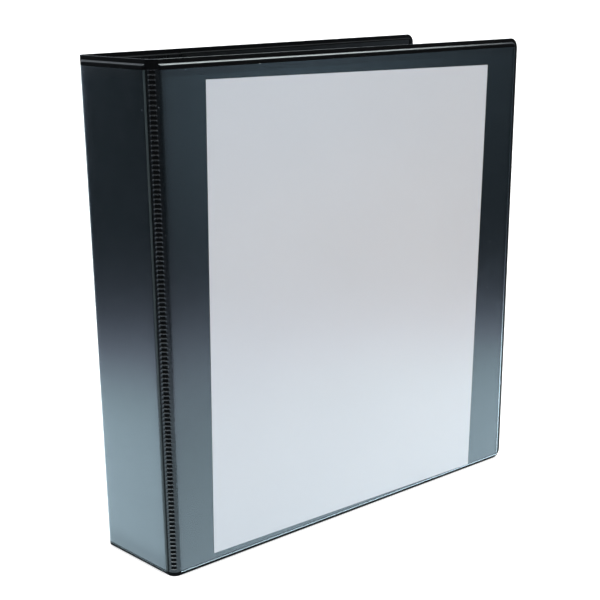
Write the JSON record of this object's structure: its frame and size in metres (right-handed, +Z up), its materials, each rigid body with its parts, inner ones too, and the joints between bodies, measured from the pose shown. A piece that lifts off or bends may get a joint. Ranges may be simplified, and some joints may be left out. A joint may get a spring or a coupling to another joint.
{
  "type": "ring binder",
  "caption": "Black vinyl view binder with hinged covers, a clear front pocket holding a white cover sheet, and a D-ring mechanism on the back cover.",
  "frame": {"origin": "middle of the closed case's footprint, on the surface it stands on", "axes": "+Z up along the spine, -X towards the spine's outside, -Y towards the front cover"},
  "size_m": [0.279, 0.112, 0.2985],
  "materials": {
    "greyboard": "matte",
    "vinyl_black": "satin",
    "clear_film": "gloss",
    "inner_pocket_film": "satin",
    "white_card": "matte",
    "nickel_steel": "gloss",
    "blade_steel": "satin"
  },
  "bodies": {
    "spine": {"spine_board": "greyboard", "spine_outer_skin": "vinyl_black", "spine_inner_skin": "vinyl_black", "spine_overlay": "clear_film", "front_hinge_web": "vinyl_black", "back_hinge_web": "vinyl_black"},
    "front_cover": {"front_board": "greyboard", "front_outer_skin": "vinyl_black", "front_inner_skin": "vinyl_black", "front_overlay": "clear_film", "front_inner_pocket": "inner_pocket_film"},
    "insert": {"cover_insert": "white_card"},
    "back_cover": {"back_board": "greyboard", "back_outer_skin": "vinyl_black", "back_inner_skin": "vinyl_black", "back_overlay": "clear_film", "back_inner_pocket": "inner_pocket_film", "ring_housing": "nickel_steel", "top_rivet": "nickel_steel", "bottom_rivet": "nickel_steel", "top_lever_pin": "blade_steel", "bottom_lever_pin": "blade_steel"},
    "left_rings": {"left_blade": "blade_steel", "left_ring_top": "nickel_steel", "left_ring_middle": "nickel_steel", "left_ring_bottom": "nickel_steel"},
    "right_rings": {"right_blade": "blade_steel", "right_ring_top": "nickel_steel", "right_ring_middle": "nickel_steel", "right_ring_bottom": "nickel_steel"},
    "top_lever": {"top_lever": "nickel_steel"},
    "bottom_lever": {"bottom_lever": "nickel_steel"}
  },
  "joints": [
    {"name": "front_hinge", "type": "hinge", "parent": "spine", "child": "front_cover", "pos_m": [-0.13677, -0.00784, 0], "axis": [0, 0, -1], "range_deg": [-9.5, 168], "deforming": ["front_hinge_web"]},
    {"name": "back_hinge", "type": "hinge", "parent": "spine", "child": "back_cover", "pos_m": [-0.13651, 0.05351, 0], "axis": [0, 0, 1], "range_deg": [-1, 178], "deforming": ["back_hinge_web"]},
    {"name": "insert_slide", "type": "slide", "parent": "front_cover", "child": "insert", "axis": [0, 0, 1], "range_m": [0, 0.29]},
    {"name": "left_ring_open", "type": "hinge", "parent": "back_cover", "child": "left_rings", "pos_m": [-0.10676, 0.04833, 0.14925], "axis": [0, 0, -1], "range_deg": [0, 12]},
    {"name": "right_ring_open", "type": "hinge", "parent": "back_cover", "child": "right_rings", "pos_m": [-0.08362, 0.04667, 0.14925], "axis": [0, 0, 1], "range_deg": [0, 12]},
    {"name": "top_lever_swing", "type": "hinge", "parent": "back_cover", "child": "top_lever", "pos_m": [-0.09526, 0.04645, 0.27025], "axis": [-0.9974, 0.0715, 0], "range_deg": [0, 22.01]},
    {"name": "bottom_lever_swing", "type": "hinge", "parent": "back_cover", "child": "bottom_lever", "pos_m": [-0.09526, 0.04645, 0.02825], "axis": [0.9974, -0.0715, 0], "range_deg": [0, 22.01]}
  ],
  "couplings": [
    {"joint": "right_ring_open", "follows": "left_ring_open", "ratio": 1},
    {"joint": "top_lever_swing", "follows": "left_ring_open", "ratio": 1.8333},
    {"joint": "bottom_lever_swing", "follows": "left_ring_open", "ratio": 1.8333}
  ]
}
